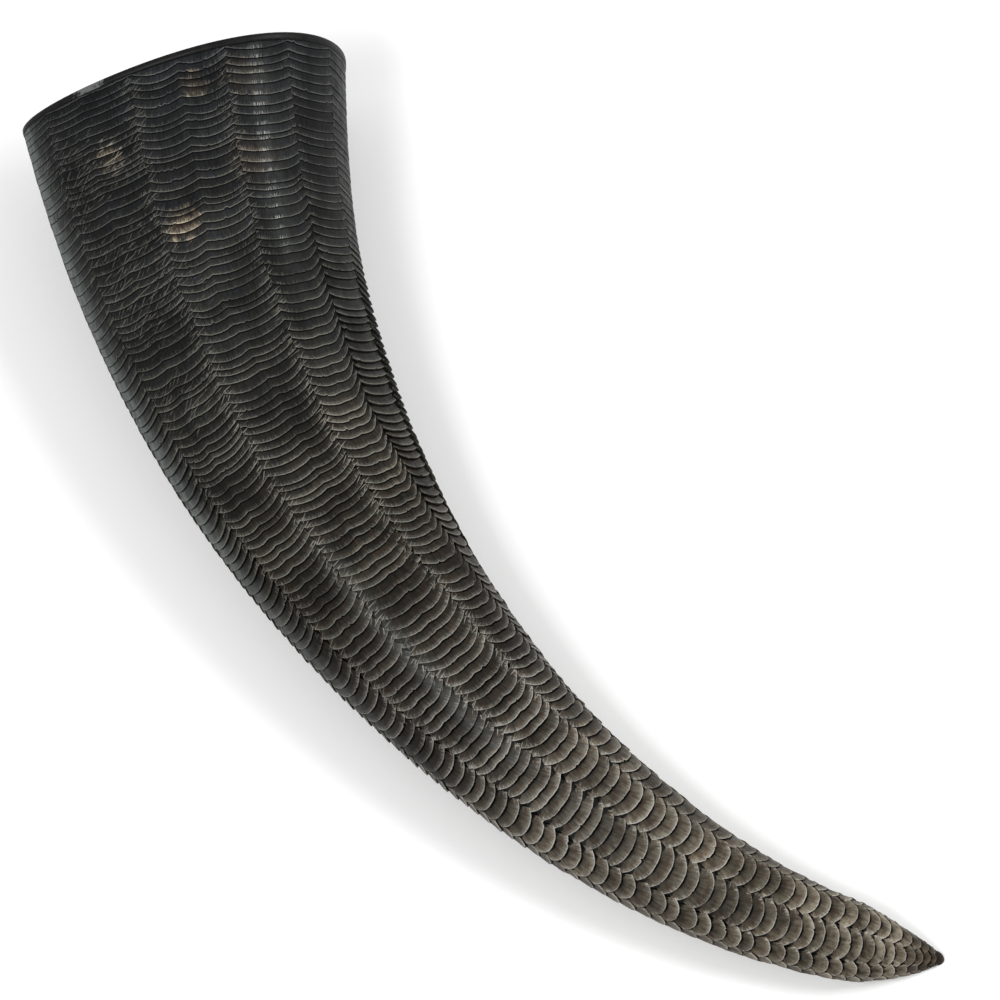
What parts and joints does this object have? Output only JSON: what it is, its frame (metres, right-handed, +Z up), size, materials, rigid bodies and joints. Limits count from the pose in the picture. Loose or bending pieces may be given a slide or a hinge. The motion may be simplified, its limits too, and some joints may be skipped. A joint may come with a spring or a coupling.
{
  "type": "scale-carved horn",
  "caption": "Curved natural horn, hollow from a wide oval mouth and closed at a smooth point, carved all over with rows of overlapping scales between its polished ends.",
  "frame": {"origin": "under the middle of the horn's box, on the surface that it lies on", "axes": "+X from the flat mouth towards the point, +Y towards the inside of the curve, +Z up as it lies on its flat side"},
  "size_m": [0.2972, 0.2012, 0.0675],
  "materials": {
    "polished_horn": "natural horn, buffed and oiled to a soft gloss",
    "horn_body": "natural horn, scraped; satin inside the hollow",
    "carved_scales": "gouge-cut horn, satin, with pale worn edges"
  },
  "bodies": {
    "root": {"mouth_band": "polished_horn", "horn_wall": "horn_body", "solid_end": "horn_body", "smooth_point": "polished_horn", "scale_track_01": "carved_scales", "scale_track_02": "carved_scales", "scale_track_03": "carved_scales", "scale_track_04": "carved_scales", "scale_track_05": "carved_scales", "scale_track_06": "carved_scales", "scale_track_07": "carved_scales", "scale_track_08": "carved_scales", "scale_track_09": "carved_scales", "scale_track_10": "carved_scales", "scale_track_11": "carved_scales", "scale_track_12": "carved_scales"}
  },
  "joints": []
}
